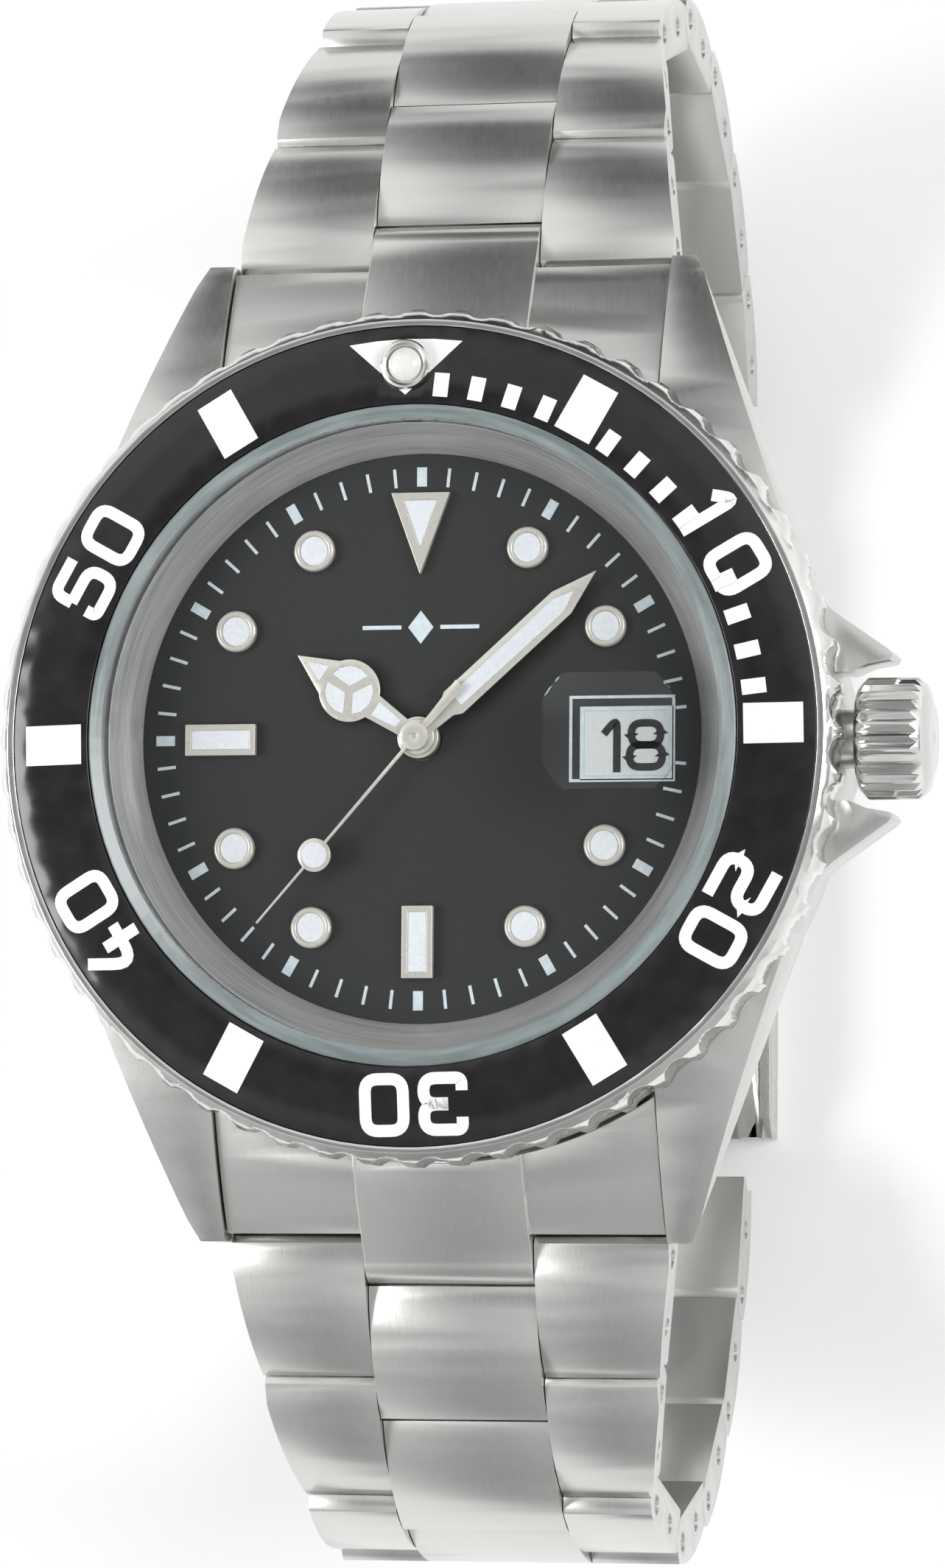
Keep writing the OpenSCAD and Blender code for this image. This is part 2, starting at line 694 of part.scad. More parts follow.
// Solid end piece between the lugs, with a centre tongue that carries the first pin
module end_link() color(steel) difference() {
    union() {
        intersection() {
            across(lug_gap - 0.2) lug_side(0.3);
            translate([-15, 0, -5]) cube([30, first_pin[0] - link_back_off, 20]);
        }
        across(centre_w) {
            translate(first_pin) circle(nose_r);
            intersection() {
                lug_side(0.15, first_pin[0] + 0.45);
                translate([0, first_pin[1] - nose_r]) square([first_pin[0] + 1, 10]);
            }
        }
    }
    disc(case_d / 2 + 0.15, -5, 20);
    both_sides() rod_x(nose_r + link_gap, first_pin, centre_w / 2, 12);
    rod_x(pin_r + fit, first_pin, -12, 12);
    rod_x(spring_bar_r + fit, spring_bar_at, -12, 12);
}

module lug_spring_bars() color(steel) for (m = [0, 1]) mirror([0, m, 0]) {
    rod_x(spring_bar_r, spring_bar_at, -10.6, 10.6);
    rod_x(spring_tip_r, spring_bar_at, -12, 12);
}

// ---- Clasp ----

// Spring bar of the last 12 o'clock row, held between the clasp cover's fork arms
module clasp_spring_bar() color(steel) rod_x(pin_r, end_12, -last_row_w / 2, last_row_w / 2);

// A rectangle in [y, z] from one corner to the other
module box_yz(from, to) {
    translate(from) square(to - from);
}

module clasp_cover() color(steel) {
    z = clasp_z;
    step = latch_pivot[0] - 1.5;
    difference() {
        union() {
            across(clasp_w) box_yz([step, z], [floor_end, z + cover_t]);
            across(clasp_w) box_yz([cover_start, z + latch_t + 0.05], [step, z + cover_t + 0.05]);
            both_sides() slab_x(clasp_w / 2 - cover_wall, clasp_w / 2) polygon([
                [cover_start, z + latch_t + 0.05], [step, z + latch_t + 0.05], [step, z],
                [floor_end, z], [floor_end + 1.6, end_12[1] - 1.3],
                [fork_end - 0.4, end_12[1] - 1.3], [fork_end, end_12[1] - 0.9],
                [fork_end, end_12[1] + 0.8], [fork_end - 0.4, end_12[1] + 1.2],
                [cover_start + 3, end_12[1] + 1.2], [cover_start, hinge_outer[1] + 0.9]]);
        }
        for (k = [0 : 2]) rod_x(pin_r + fit, end_12 - [2.2 * k, 0], -12, 12);
        rod_x(pin_r + fit, latch_pivot, -12, 12);
        rod_x(hinge_pin_r + press_gap, hinge_outer, -12, 12);
    }
    rod_x(hinge_pin_r, hinge_outer, -clasp_w / 2 + 0.1, clasp_w / 2 - 0.1);
}

// Long blade: hinged to the cover at the 6 o'clock end and to the short blade at the other
module clasp_blade_long() color(steel) {
    low = hinge_outer[1] - 0.1;
    difference() {
        union() {
            across(2 * blade_w) box_yz([hinge_outer[0], low], [hinge_inner[0], low + blade_t]);
            rod_x(knuckle_r, hinge_outer, -blade_w, blade_w);
            both_sides() rod_x(knuckle_r, hinge_inner, 3.2, blade_w);
        }
        rod_x(hinge_pin_r + fit, hinge_outer, -12, 12);
        rod_x(hinge_pin_r + press_gap, hinge_inner, -12, 12);
        across(6.4) box_yz(hinge_inner - [1.2, 3], hinge_inner + [3, 3]);
    }
    rod_x(hinge_pin_r, hinge_inner, 0.1 - blade_w, blade_w - 0.1);
}

// Short blade: its two ears carry the pin through the last 6 o'clock row
module clasp_blade_short() color(steel) {
    low = hinge_inner[1] + 0.35;
    neck = [end_6[0] + 3.0, low];
    difference() {
        union() {
            across(2 * blade_w) box_yz([neck[0] - 0.7, low], [hinge_inner[0] - 1.3, low + blade_t]);
            across(6.2) box_yz([neck[0], low], [hinge_inner[0] + 0.3, low + blade_t]);
            rod_x(knuckle_r, hinge_inner, -3.1, 3.1);
            both_sides() slab_x(ear_in, blade_w) union() {
                translate(end_6) circle(0.9);
                polygon([end_6 - [0, 0.9], neck, neck + [0, blade_t], end_6 + [0, 0.9]]);
            }
        }
        rod_x(hinge_pin_r + fit, hinge_inner, -12, 12);
        rod_x(pin_r + press_gap, end_6, -12, 12);
    }
    rod_x(pin_r, end_6, 0.1 - blade_w, blade_w - 0.1);
}

// Latch that folds over the cover's 6 o'clock end, between two cheeks
module safety_latch() color(steel) {
    cheek = [clasp_w / 2 + 0.05, clasp_w / 2 + 0.6];
    plate_end = latch_pivot[0] - 2.15;
    slab_x(-cheek[1], cheek[1]) box_yz([cover_start, clasp_z], [plate_end, clasp_z + latch_t]);
    both_sides() {
        slab_x(cheek[0], cheek[1]) union() {
            translate(latch_pivot) circle(1.0);
            polygon([latch_pivot - [0, 1.0], [plate_end, clasp_z], [cover_start, clasp_z],
                [cover_start, clasp_z + 1.6], [cover_start + 1, clasp_z + 2.4],
                latch_pivot + [0, 1.0]]);
        }
        rod_x(pin_r, latch_pivot, cheek[0] - 0.8, cheek[0] + tiny);
    }
}

case_body();
case_back();
case_back_gasket();
crystal();
crystal_gasket();
date_magnifier();
rehaut_ring();
bezel_ring();
bezel_insert();
bezel_pip();
bezel_click_spring();
dial();
hour_markers();
hour_hand();
minute_hand();
second_hand();
date_wheel();
movement_holder();
main_plate();
train_bridge();
balance_cock();
bridge_screws();
mainspring_barrel();
third_wheel();
minute_wheel();
escape_wheel();
pallet_fork();
balance_wheel();
hairspring();
rotor();
winding_pinion();
crown();
stem();
crown_tube();
lug_spring_bars();
end_link();  // end_link_12
mirror([0, 1, 0]) end_link();  // end_link_6
clasp_spring_bar();
clasp_cover();
clasp_blade_long();
clasp_blade_short();
safety_latch();
bracelet_row(slopes_12, 1, 1);  // row_12_1
bracelet_row(slopes_12, 2, 1);  // row_12_2
bracelet_row(slopes_12, 3, 1);  // row_12_3
bracelet_row(slopes_12, 4, 1);  // row_12_4
bracelet_row(slopes_12, 5, 1);  // row_12_5
bracelet_row(slopes_12, 6, 1);  // row_12_6
bracelet_row(slopes_12, 7, 1);  // row_12_7
bracelet_row(slopes_12, 8, 1);  // row_12_8
bracelet_row(slopes_6, 1, -1);  // row_6_1
bracelet_row(slopes_6, 2, -1);  // row_6_2
bracelet_row(slopes_6, 3, -1);  // row_6_3
bracelet_row(slopes_6, 4, -1);  // row_6_4
bracelet_row(slopes_6, 5, -1);  // row_6_5
bracelet_row(slopes_6, 6, -1);  // row_6_6
bracelet_row(slopes_6, 7, -1);  // row_6_7
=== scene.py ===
"""Looks for the wristwatch: materials, dial and bezel markings, lume, light and camera."""

import math

import bmesh
import bpy
from mathutils import Matrix, Vector


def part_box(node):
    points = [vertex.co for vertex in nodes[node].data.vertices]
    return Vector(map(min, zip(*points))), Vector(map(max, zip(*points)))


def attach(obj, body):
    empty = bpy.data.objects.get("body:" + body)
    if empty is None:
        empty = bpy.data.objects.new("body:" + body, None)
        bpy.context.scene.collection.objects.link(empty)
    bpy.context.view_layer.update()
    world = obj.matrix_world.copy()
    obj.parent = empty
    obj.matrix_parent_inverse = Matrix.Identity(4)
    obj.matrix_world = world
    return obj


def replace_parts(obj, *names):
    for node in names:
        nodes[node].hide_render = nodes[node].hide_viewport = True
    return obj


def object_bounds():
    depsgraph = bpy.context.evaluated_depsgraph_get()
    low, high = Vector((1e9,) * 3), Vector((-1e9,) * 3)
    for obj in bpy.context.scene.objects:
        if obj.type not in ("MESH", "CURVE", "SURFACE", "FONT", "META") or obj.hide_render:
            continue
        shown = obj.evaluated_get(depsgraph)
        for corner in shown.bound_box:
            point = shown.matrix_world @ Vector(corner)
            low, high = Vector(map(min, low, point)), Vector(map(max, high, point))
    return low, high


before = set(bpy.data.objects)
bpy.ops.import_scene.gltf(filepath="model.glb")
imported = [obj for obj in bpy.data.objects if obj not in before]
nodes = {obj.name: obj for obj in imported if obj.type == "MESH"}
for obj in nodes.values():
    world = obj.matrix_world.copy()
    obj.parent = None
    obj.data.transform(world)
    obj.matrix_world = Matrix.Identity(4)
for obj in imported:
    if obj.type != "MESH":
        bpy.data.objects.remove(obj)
cad_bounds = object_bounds()
MM = 0.001


def top_of(node):
    """Height of a CAD node's highest point, in millimetres."""
    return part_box(node)[1][2] / MM


DIAL_Z = top_of("dial")
# How far the bezel's zero stands anticlockwise of 12 o'clock, in degrees
INSERT_REST_ANGLE = 1.1
# Radius and height of the insert's inner and outer edge
INSERT_IN = (15.75, 11.0)
INSERT_OUT = (19.5, 10.6)
# Clockwise angles of the hands at rest
HOUR_ANGLE, MINUTE_ANGLE, SECOND_ANGLE = 304, 48, 221
MARKER_R = 10.4
FIVE_MINUTES = 5
DEGREES_A_MINUTE = 6


# ---- Shapes ----


def polar(r, clock_angle):
    """A point at radius r, at an angle clockwise from 12 o'clock."""
    a = math.radians(90 - clock_angle)
    return (r * math.cos(a), r * math.sin(a))


def circle(r, count, centre=(0, 0)):
    angles = [2 * math.pi * i / count for i in range(count)]
    return [(centre[0] + r * math.cos(a), centre[1] + r * math.sin(a)) for a in angles]


def rectangle(width, height, centre=(0, 0)):
    x, y = width / 2, height / 2
    corners = [(-x, -y), (x, -y), (x, y), (-x, y)]
    return [(centre[0] + a, centre[1] + b) for a, b in corners]


def rounded(points, radius, closed=True, steps=6):
    """The polyline with each corner replaced by an arc of the given radius."""
    out = []
    count = len(points)
    for i, corner in enumerate(points):
        if not closed and i in (0, count - 1):
            out.append(corner)
            continue
        p = Vector(corner)
        before = Vector(points[i - 1]) - p
        after = Vector(points[(i + 1) % count]) - p
        half = before.angle(after) / 2
        reach = min(radius / math.tan(half), before.length * 0.5, after.length * 0.5)
        start, end = p + before.normalized() * reach, p + after.normalized() * reach
        for k in range(steps + 1):
            t = k / steps
            out.append(tuple((1 - t) ** 2 * start + 2 * t * (1 - t) * p + t**2 * end))
    return out


def turned(points, clock_angle, offset=(0, 0)):
    """Points drawn with +Y outward, shifted by offset, then turned clockwise about the centre."""
    a = math.radians(-clock_angle)
    out = []
    for x, y in points:
        x, y = x + offset[0], y + offset[1]
        out.append((x * math.cos(a) - y * math.sin(a), x * math.sin(a) + y * math.cos(a)))
    return out


def stroke(points, width, closed=False):
    """Left and right outlines of a pen stroke of constant width along a polyline."""
    left, right = [], []
    count = len(points)
    for i, point in enumerate(points):
        p = Vector(point)
        before = p - Vector(points[i - 1]) if closed or i > 0 else None
        after = Vector(points[(i + 1) % count]) - p if closed or i < count - 1 else None
        before = before.normalized() if before is not None else after.normalized()
        after = after.normalized() if after is not None else before
        along = (before + after).normalized()
        across = Vector((-along.y, along.x))
        reach = width / 2 / max(0.5, across.dot(Vector((-before.y, before.x))))
        left.append(tuple(p + across * reach))
        right.append(tuple(p - across * reach))
    return left, right


def lifted(outline, level):
    """The outline as points in space. level is a height, or a function of x and y."""
    return [(x, y, level(x, y) if callable(level) else level) for x, y in outline]


class Shape:
    """Collects solids in millimetres, and makes them one object in metres."""

    def __init__(self):
        self.mesh = bmesh.new()

    def wall(self, rings, closed=True):
        """Joins rings of points, each with as many points as the first, by faces."""
        made = [[self.mesh.verts.new(Vector(p) * MM) for p in ring] for ring in rings]
        count = len(made[0])
        for a, b in zip(made, made[1:]):
            for i in range(count if closed else count - 1):
                j = (i + 1) % count
                self.mesh.faces.new((a[i], a[j], b[j], b[i]))
        return made

    def prism(self, outline, low, high):
        """A solid between two levels, each a height or a function of x and y."""
        made = self.wall([lifted(outline, low), lifted(outline, high)])
        self.mesh.faces.new(list(reversed(made[0])))
        self.mesh.faces.new(made[1])

    def band(self, outer, inner, low, high, closed=True):
        """A solid between two outlines with equally many points."""
        rings = [lifted(inner, high), lifted(inner, low), lifted(outer, low), lifted(outer, high)]
        made = self.wall(rings, closed)
        count = len(outer)
        for i in range(count if closed else count - 1):
            j = (i + 1) % count
            self.mesh.faces.new((made[3][i], made[3][j], made[0][j], made[0][i]))
        if not closed:
            for i in (0, count - 1):
                self.mesh.faces.new([ring[i] for ring in made])

    def turned_profile(self, profile, centre=(0, 0), count=96):
        """A solid of revolution about a vertical line; the profile is a closed loop of (r, z)."""
        self.wall([lifted(circle(r, count, centre), z) for r, z in profile + profile[:1]])

    def dome(self, r, low, rise, centre=(0, 0), count=40, steps=6):
        """A disc with a rounded top."""
        rings = []
        for k in range(steps):
            t = math.pi / 2 * k / steps
            rings.append(lifted(circle(r * math.cos(t), count, centre), low + rise * math.sin(t)))
        made = self.wall(rings)
        self.mesh.faces.new(list(reversed(made[0])))
        self.mesh.faces.new(made[-1])

    def piece(self, name, body, material, slot, bevel=0.0):
        """Makes the object, and lets it ride on a body; bevel rounds its edges, in millimetres."""
        bmesh.ops.remove_doubles(self.mesh, verts=self.mesh.verts, dist=1e-8)
        bmesh.ops.recalc_face_normals(self.mesh, faces=self.mesh.faces)
        data = bpy.data.meshes.new(name)
        self.mesh.to_mesh(data)
        self.mesh.free()
        data.materials.append(material)
        obj = bpy.data.objects.new(name, data)
        bpy.context.scene.collection.objects.link(obj)
        if bevel:
            soften(obj, bevel)
        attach(obj, body)
        return obj


BEVEL_SEGMENTS = 2
# Edges that turn by less than this many degrees stay as they are
BEVEL_FROM_ANGLE = 28


def soften(obj, width):
    """Rounds an object's sharp edges with a bevel, in millimetres, and shades it smooth."""
    weld = obj.modifiers.new("weld", "WELD")
    weld.merge_threshold = 1e-7
    bevel = obj.modifiers.new("bevel", "BEVEL")
    bevel.width = width * MM
    bevel.segments = BEVEL_SEGMENTS
    bevel.limit_method = "ANGLE"
    bevel.angle_limit = math.radians(BEVEL_FROM_ANGLE)
    bevel.use_clamp_overlap = True
    bevel.harden_normals = True
    for face in obj.data.polygons:
        face.use_smooth = True


# ---- Materials ----


def material(name, color, metallic=0.0, roughness=0.5, **sockets):
    """A new material with a Principled shader; sockets are its inputs' names with _ for spaces."""
    made = bpy.data.materials.new(name)
    made.use_nodes = True
    shader = made.node_tree.nodes["Principled BSDF"]
    shader.inputs["Base Color"].default_value = (*color, 1)
    shader.inputs["Metallic"].default_value = metallic
    shader.inputs["Roughness"].default_value = roughness
    for key, value in sockets.items():
        shader.inputs[key.replace("_", " ")].default_value = value
    return made


# The part of the noise's span that the colour and roughness ramps use
NOISE_LOW, NOISE_HIGH = 0.3, 0.7
BUMP_DISTANCE = 2e-5


def grain(made, scale, color=(0, 0), roughness=(0, 0), bump=0.0, detail=3.0, coords=None):
    """Varies a material by noise, stretched by scale along x, y and z.

    color gives the least and most factors of its colour, and roughness its least and most
    roughness. A pair of zeros leaves that alone.
    """
    tree = made.node_tree
    add = tree.nodes.new
    link = tree.links.new
    shader = tree.nodes["Principled BSDF"]
    if coords is None:
        coords = add("ShaderNodeTexCoord").outputs["Object"]
    mapping = add("ShaderNodeMapping")
    mapping.inputs["Scale"].default_value = scale
    link(coords, mapping.inputs["Vector"])
    noise = add("ShaderNodeTexNoise")
    noise.inputs["Scale"].default_value = 1.0
    noise.inputs["Detail"].default_value = detail
    link(mapping.outputs["Vector"], noise.inputs["Vector"])
    if color != (0, 0):
        base = Vector(shader.inputs["Base Color"].default_value[:3])
        ramp = add("ShaderNodeValToRGB")
        for element, position, factor in zip(ramp.color_ramp.elements, (NOISE_LOW, NOISE_HIGH), color):
            element.position = position
            element.color = (*(base * factor), 1)
        link(noise.outputs["Fac"], ramp.inputs["Fac"])
        link(ramp.outputs["Color"], shader.inputs["Base Color"])
    if roughness != (0, 0):
        spread = add("ShaderNodeMapRange")
        spread.inputs["From Min"].default_value = NOISE_LOW
        spread.inputs["From Max"].default_value = NOISE_HIGH
        spread.inputs["To Min"].default_value = roughness[0]
        spread.inputs["To Max"].default_value = roughness[1]
        link(noise.outputs["Fac"], spread.inputs["Value"])
        link(spread.outputs["Result"], shader.inputs["Roughness"])
    if bump:
        relief = add("ShaderNodeBump")
        relief.inputs["Strength"].default_value = bump
        relief.inputs["Distance"].default_value = BUMP_DISTANCE
        link(noise.outputs["Fac"], relief.inputs["Height"])
        link(relief.outputs["Normal"], shader.inputs["Normal"])
    return made


def around_axis(made):
    """Texture coordinates of (distance from the dial's axis, angle, height) for turned finishes."""
    tree = made.node_tree
    add = tree.nodes.new
    link = tree.links.new
    split = add("ShaderNodeSeparateXYZ")
    link(add("ShaderNodeTexCoord").outputs["Object"], split.inputs["Vector"])
    angle = add("ShaderNodeMath")
    angle.operation = "ARCTAN2"
    link(split.outputs["Y"], angle.inputs[0])
    link(split.outputs["X"], angle.inputs[1])
    flat = add("ShaderNodeCombineXYZ")
    link(split.outputs["X"], flat.inputs["X"])
    link(split.outputs["Y"], flat.inputs["Y"])
    length = add("ShaderNodeVectorMath")
    length.operation = "LENGTH"
    link(flat.outputs["Vector"], length.inputs[0])
    joined = add("ShaderNodeCombineXYZ")
    link(length.outputs["Value"], joined.inputs["X"])
    link(angle.outputs["Value"], joined.inputs["Y"])
    link(split.outputs["Z"], joined.inputs["Z"])
    return joined.outputs["Vector"]


STEEL = (0.64, 0.635, 0.62)
brushed_case = grain(
    material("brushed_case", STEEL, 1.0, 0.3), (26000, 1500, 1500), (0.98, 1.02), (0.28, 0.34), 0.09, 2.0
)
brushed_links = grain(
    material("brushed_links", STEEL, 1.0, 0.3), (26000, 1300, 1300), (0.98, 1.02), (0.28, 0.34), 0.09, 2.0
)
polished = grain(
    material("polished_steel", (0.70, 0.695, 0.68), 1.0, 0.14),
    (700, 700, 700),
    (0.96, 1.03),
    (0.1, 0.18),
    0.03,
)
plain_steel = grain(
    material("plain_steel", (0.60, 0.60, 0.59), 1.0, 0.35), (4000, 900, 900), (0.92, 1.04), (0.3, 0.42), 0.15
)
clasp_steel = grain(
    material("clasp_steel", STEEL, 1.0, 0.28), (22000, 1200, 1200), (0.94, 1.03), (0.24, 0.34), 0.25, 2.0
)
hand_steel = grain(
    material("hand_steel", (0.70, 0.68, 0.62), 0.5, 0.3), (5000, 5000, 900), (0.98, 1.02), (0.27, 0.33), 0.03
)
turned_steel = material("turned_steel", (0.62, 0.62, 0.61), 0.45, 0.4)
grain(turned_steel, (9000, 3.0, 9000), (0.82, 1.12), (0.32, 0.5), 0.5, 3.0, around_axis(turned_steel))
rotor_steel = material("rotor_steel", (0.50, 0.49, 0.47), 1.0, 0.3)
grain(rotor_steel, (9000, 1.0, 9000), (0.8, 1.1), (0.22, 0.42), 0.4, 2.0, around_axis(rotor_steel))
insert_black = grain(
    material("insert_black", (0.009, 0.008, 0.008), 0.0, 0.16), (900, 900, 900), (0.7, 1.3), (0.13, 0.2), 0.02
)
insert_silver = grain(
    material("insert_silver", (0.86, 0.86, 0.85), 0.15, 0.42),
    (3000, 3000, 3000),
    (0.985, 1.01),
    (0.4, 0.45),
    0.02,
)
dial_black = grain(
    material("dial_black", (0.017, 0.017, 0.017), 0.0, 0.55),
    (16000, 16000, 16000),
    (0.8, 1.25),
    (0.42, 0.6),
    0.06,
)
print_white = grain(
    material("print_white", (0.66, 0.74, 0.79), 0.0, 0.5), (4000, 4000, 4000), (0.9, 1.06), (0.42, 0.6), 0.05
)
lume = grain(
    material("lume", (0.76, 0.79, 0.83), 0.0, 0.6), (6000, 6000, 6000), (0.93, 1.04), (0.5, 0.7), 0.15
)
pearl = grain(
    material("pearl", (0.74, 0.75, 0.71), 0.0, 0.22, Coat_Weight=0.4),
    (2500, 2500, 2500),
    (0.94, 1.03),
    (0.18, 0.3),
    0.05,
)
date_white = grain(
    material("date_white", (0.70, 0.72, 0.71), 0.0, 0.55), (3000, 3000, 3000), (0.95, 1.03), (0.5, 0.6), 0.04
)
date_ink = grain(
    material("date_ink", (0.015, 0.015, 0.018), 0.0, 0.4), (3000, 3000, 3000), (0.8, 1.3), (0.34, 0.5), 0.03
)
gasket_black = grain(
    material("gasket_black", (0.02, 0.02, 0.02), 0.0, 0.6), (2000, 2000, 2000), (0.8, 1.2), (0.5, 0.7), 0.1
)
gasket_clear = grain(
    material("gasket_clear", (0.30, 0.37, 0.38), 0.0, 0.3),
    (2000, 2000, 2000),
    (0.95, 1.03),
    (0.25, 0.36),
    0.05,
)
edge_glass = material("edge_glass", (0.21, 0.245, 0.25), 0.0, 0.25)
grain(edge_glass, (2500, 4.0, 2500), (0.75, 1.3), (0.2, 0.34), 0.1, 3.0, around_axis(edge_glass))
nickel_plate = grain(
    material("nickel_plate", (0.62, 0.59, 0.52), 1.0, 0.35), (2500, 2500, 2500), (0.9, 1.06), (0.3, 0.45), 0.2
)
gilt = grain(
    material("gilt", (0.72, 0.55, 0.28), 1.0, 0.3), (3500, 3500, 3500), (0.9, 1.06), (0.24, 0.4), 0.15
)
blued = grain(
    material("blued_steel", (0.05, 0.09, 0.30), 1.0, 0.25), (3000, 3000, 3000), (0.8, 1.2), (0.2, 0.32), 0.1
)
moulded = grain(
    material("moulded_holder", (0.62, 0.62, 0.58), 0.0, 0.55),
    (1500, 1500, 1500),
    (0.95, 1.04),
    (0.48, 0.62),
    0.15,
)


def clear_glass(name, tint, gloss):
    """Clear glass that lets light through: mostly transparent, with a sheen that grows at its edges."""
    made = bpy.data.materials.new(name)
    made.use_nodes = True
    tree = made.node_tree
    tree.nodes.clear()
    add = tree.nodes.new
    link = tree.links.new
    through = add("ShaderNodeBsdfTransparent")
    through.inputs["Color"].default_value = (*tint, 1)
    shine = add("ShaderNodeBsdfGlossy")
    shine.inputs["Roughness"].default_value = 0.03
    edge = add("ShaderNodeFresnel")
    edge.inputs["IOR"].default_value = gloss
    smudge = add("ShaderNodeTexNoise")
    smudge.inputs["Scale"].default_value = 300
    link(add("ShaderNodeTexCoord").outputs["Object"], smudge.inputs["Vector"])
    relief = add("ShaderNodeBump")
    relief.inputs["Strength"].default_value = 0.02
    relief.inputs["Distance"].default_value = 1e-5
    link(smudge.outputs["Fac"], relief.inputs["Height"])
    link(relief.outputs["Normal"], shine.inputs["Normal"])
    mix = add("ShaderNodeMixShader")
    out = add("ShaderNodeOutputMaterial")
    link(edge.outputs["Fac"], mix.inputs["Fac"])
    link(through.outputs["BSDF"], mix.inputs[1])
    link(shine.outputs["BSDF"], mix.inputs[2])
    link(mix.outputs["Shader"], out.inputs["Surface"])
    return made


crystal_glass = clear_glass("crystal_glass", (0.99, 0.995, 0.995), 1.12)
lens_glass = clear_glass("lens_glass", (0.98, 0.99, 0.99), 1.4)

# ---- CAD nodes: a material each, and softened edges ----

# Each node's material, and the width of its edges' bevel in millimetres
LOOKS = {
    "case_body": (brushed_case, 0.22),
    "case_back": (plain_steel, 0.12),
    "case_back_gasket": (gasket_black, 0),
    "crystal": (crystal_glass, 0.15),
    "crystal_gasket": (gasket_clear, 0),
    "date_magnifier": (lens_glass, 0),
    "rehaut_ring": (turned_steel, 0.03),
    "bezel_ring": (polished, 0.1),
    "bezel_insert": (insert_black, 0.05),
    "bezel_pip": (pearl, 0.05),
    "bezel_click_spring": (plain_steel, 0),
    "dial": (dial_black, 0),
    "hour_markers": (hand_steel, 0.05),
    "hour_hand": (hand_steel, 0.03),
    "minute_hand": (hand_steel, 0.03),
    "second_hand": (hand_steel, 0.02),
    "date_wheel": (date_white, 0),
    "movement_holder": (moulded, 0.05),
    "main_plate": (nickel_plate, 0.05),
    "train_bridge": (nickel_plate, 0.05),
    "balance_cock": (nickel_plate, 0.05),
    "bridge_screws": (blued, 0.02),
    "mainspring_barrel": (gilt, 0),
    "third_wheel": (gilt, 0),
    "minute_wheel": (gilt, 0),
    "escape_wheel": (gilt, 0),
    "pallet_fork": (plain_steel, 0),
    "balance_wheel": (gilt, 0.03),
    "hairspring": (blued, 0),
    "rotor": (rotor_steel, 0.08),
    "winding_pinion": (plain_steel, 0),
    "crown": (polished, 0.06),
    "stem": (plain_steel, 0),
    "crown_tube": (plain_steel, 0),
    "lug_spring_bars": (plain_steel, 0),
    "end_link_12": (brushed_links, 0.15),
    "end_link_6": (brushed_links, 0.15),
    "clasp_spring_bar": (plain_steel, 0),
    "clasp_cover": (clasp_steel, 0.15),
    "clasp_blade_long": (clasp_steel, 0.1),
    "clasp_blade_short": (clasp_steel, 0.1),
    "safety_latch": (clasp_steel, 0.12),
}
# The rows of the bracelet
ROW_LOOK = (brushed_links, 0.14)
for name, node in nodes.items():
    look, edge_width = LOOKS.get(name, ROW_LOOK)
    node.data.materials.clear()
    node.data.materials.append(look)
    if edge_width:
        soften(node, edge_width)


# ---- Bezel insert markings ----


MARKING_SINK, MARKING_RISE = 0.04, 0.03


def insert_height(x, y):
    """Height of the insert's sloping face."""
    r = math.hypot(x, y)
    slope = (INSERT_OUT[1] - INSERT_IN[1]) / (INSERT_OUT[0] - INSERT_IN[0])
    return INSERT_IN[1] + slope * (r - INSERT_IN[0])


def insert_low(x, y):
    return insert_height(x, y) - MARKING_SINK


def insert_high(x, y):
    return insert_height(x, y) + MARKING_RISE


# Size of a digit along the middle of the pen's stroke, the pen's width, and the corners' radius
DIGIT_W, DIGIT_H, PEN, CORNER_R = 1.84, 2.43, 0.57, 0.62
LEFT, RIGHT, UP, DOWN = -DIGIT_W / 2, DIGIT_W / 2, DIGIT_H / 2, -DIGIT_H / 2
# A digit's strokes: whether the stroke closes, and its corners
DIGITS = {
    "0": [(True, [(LEFT, DOWN), (RIGHT, DOWN), (RIGHT, UP), (LEFT, UP)])],
    "1": [(False, [(-0.62, 0.62), (0.12, UP + 0.28), (0.12, DOWN - 0.28)])],
    "2": [
        (
            False,
            [(LEFT - 0.28, UP), (RIGHT, UP), (RIGHT, 0), (LEFT, 0), (LEFT, DOWN), (RIGHT + 0.28, DOWN)],
        ),
    ],
    "3": [
        (False, [(LEFT, 0.62), (LEFT, UP), (RIGHT, UP), (RIGHT, 0.02), (-0.25, 0.02)]),
        (False, [(-0.25, -0.02), (RIGHT, -0.02), (RIGHT, DOWN), (LEFT, DOWN), (LEFT, -0.62)]),
    ],
    "4": [
        (False, [(0.25, UP + 0.28), (LEFT - 0.05, -0.55), (RIGHT + 0.28, -0.55)]),
        (False, [(0.45, 0.35), (0.45, DOWN - 0.28)]),
    ],
    "5": [
        (False, [(RIGHT, UP), (LEFT, UP), (LEFT, 0.2)]),
        (False, [(LEFT, 0.2), (RIGHT, 0.2), (RIGHT, DOWN), (LEFT, DOWN), (LEFT, -0.62)]),
    ],
    "8": [
        (True, [(LEFT + 0.1, 0), (RIGHT - 0.1, 0), (RIGHT - 0.1, UP), (LEFT + 0.1, UP)]),
        (True, [(LEFT, DOWN), (RIGHT, DOWN), (RIGHT, 0), (LEFT, 0)]),
    ],
}


def write_digit(shape, digit, place, low, high, pen=PEN):
    """Adds a digit's pen strokes; place maps the digit's own points to the object's."""
    for closed, points in DIGITS[digit]:
        path = rounded(points, CORNER_R, closed)
        outer, inner = stroke(path, pen, closed)
        shape.band(place(outer), place(inner), low, high, closed)


